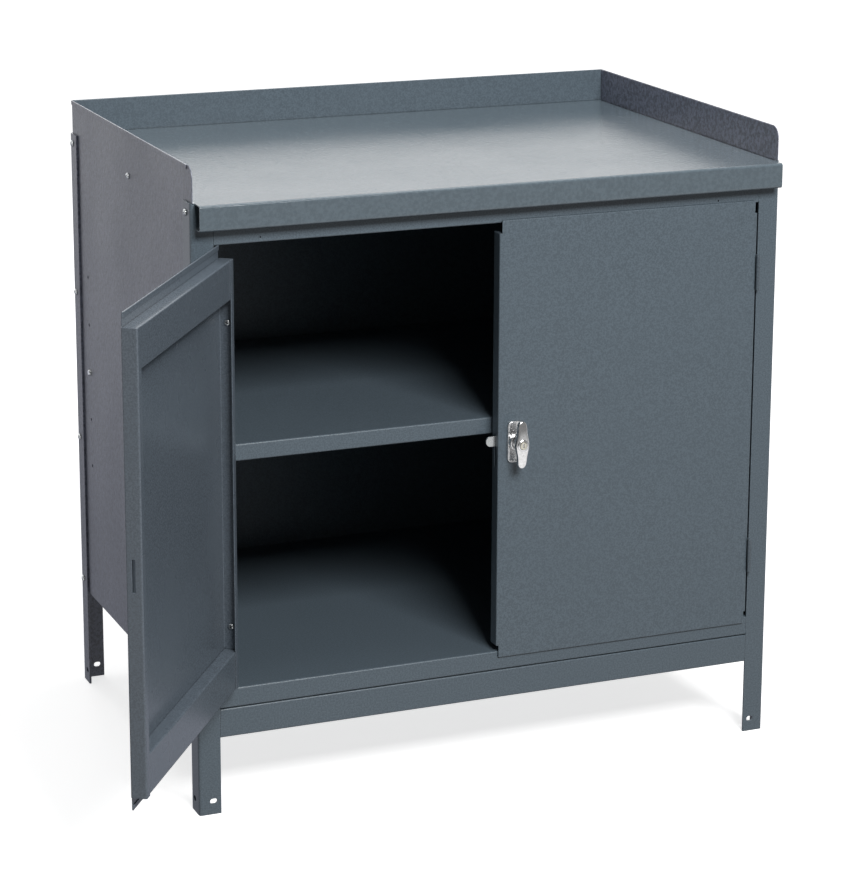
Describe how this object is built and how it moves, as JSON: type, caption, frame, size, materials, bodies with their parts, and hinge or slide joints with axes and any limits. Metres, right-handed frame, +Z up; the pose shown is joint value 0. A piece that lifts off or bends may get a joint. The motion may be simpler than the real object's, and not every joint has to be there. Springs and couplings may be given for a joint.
{
  "type": "bench cabinet",
  "caption": "Free-standing steel storage cabinet at bench height: angle-post legs, lipped worktop with low back and side stops, a shelf, and swinging doors closed by a locking turn handle.",
  "frame": {"origin": "on the floor at the outer corner of the front left post's foot (the corner where its front and side faces meet)", "axes": "+X to the right as seen facing the doors, +Y from the doors towards the back, +Z up"},
  "size_m": [1.119, 0.9762, 0.947],
  "materials": {
    "paint": "grey-blue enamel, semi-gloss, fine orange peel",
    "zinc": "bright zinc plate",
    "chrome": "polished chrome plate"
  },
  "bodies": {
    "cabinet": {"front_left_post": "paint", "front_right_post": "paint", "rear_left_post": "paint", "rear_right_post": "paint", "left_side_panel": "paint", "right_side_panel": "paint", "back_panel": "paint", "worktop": "paint", "top_rail": "paint", "kick_rail": "paint", "bottom_shelf": "paint", "middle_shelf": "paint", "left_upper_hinge_frame_leaf": "paint", "left_upper_hinge_pin": "paint", "left_lower_hinge_frame_leaf": "paint", "left_lower_hinge_pin": "paint", "right_upper_hinge_frame_leaf": "paint", "right_upper_hinge_pin": "paint", "right_lower_hinge_frame_leaf": "paint", "right_lower_hinge_pin": "paint", "left_panel_screws": "zinc", "left_panel_nuts": "zinc", "right_panel_screws": "zinc", "right_panel_nuts": "zinc", "back_panel_screws": "zinc", "back_panel_nuts": "zinc", "shelf_screws": "zinc", "shelf_nuts": "zinc"},
    "left_door": {"left_door_panel": "paint", "left_door_top_channel": "paint", "left_door_bottom_channel": "paint", "left_upper_hinge_door_leaf": "paint", "left_lower_hinge_door_leaf": "paint", "left_hinge_screws": "zinc"},
    "right_door": {"right_door_panel": "paint", "right_door_top_channel": "paint", "right_door_bottom_channel": "paint", "right_upper_hinge_door_leaf": "paint", "right_lower_hinge_door_leaf": "paint", "right_hinge_screws": "zinc", "escutcheon": "chrome", "escutcheon_screws": "zinc"},
    "turn_handle": {"handle": "chrome", "latch_cam": "zinc", "cam_washer": "zinc", "cam_nut": "zinc"},
    "lock_plug": {"lock_plug": "chrome"},
    "lock_bolt": {"lock_bolt": "zinc"}
  },
  "joints": [
    {"name": "left_door_hinge", "type": "hinge", "parent": "cabinet", "child": "left_door", "pos_m": [0.0347, -0.0065, 0.509], "axis": [0, 0, 1], "range_deg": [-45, 125]},
    {"name": "right_door_hinge", "type": "hinge", "parent": "cabinet", "child": "right_door", "pos_m": [0.8793, -0.0065, 0.509], "axis": [0, 0, 1], "range_deg": [0, 170]},
    {"name": "handle_turn", "type": "hinge", "parent": "right_door", "child": "turn_handle", "pos_m": [0.489, -0.0032, 0.51], "axis": [0, -1, 0], "range_deg": [0, 90]},
    {"name": "key_turn", "type": "hinge", "parent": "turn_handle", "child": "lock_plug", "pos_m": [0.489, -0.0232, 0.51], "axis": [0, 1, 0], "range_deg": [0, 90]},
    {"name": "lock_bolt_slide", "type": "slide", "parent": "turn_handle", "child": "lock_bolt", "axis": [0, 0, -1], "range_m": [0, 0.003]}
  ],
  "couplings": [
    {"joint": "lock_bolt_slide", "follows": "key_turn", "m_per_rad": 0.0019099}
  ]
}
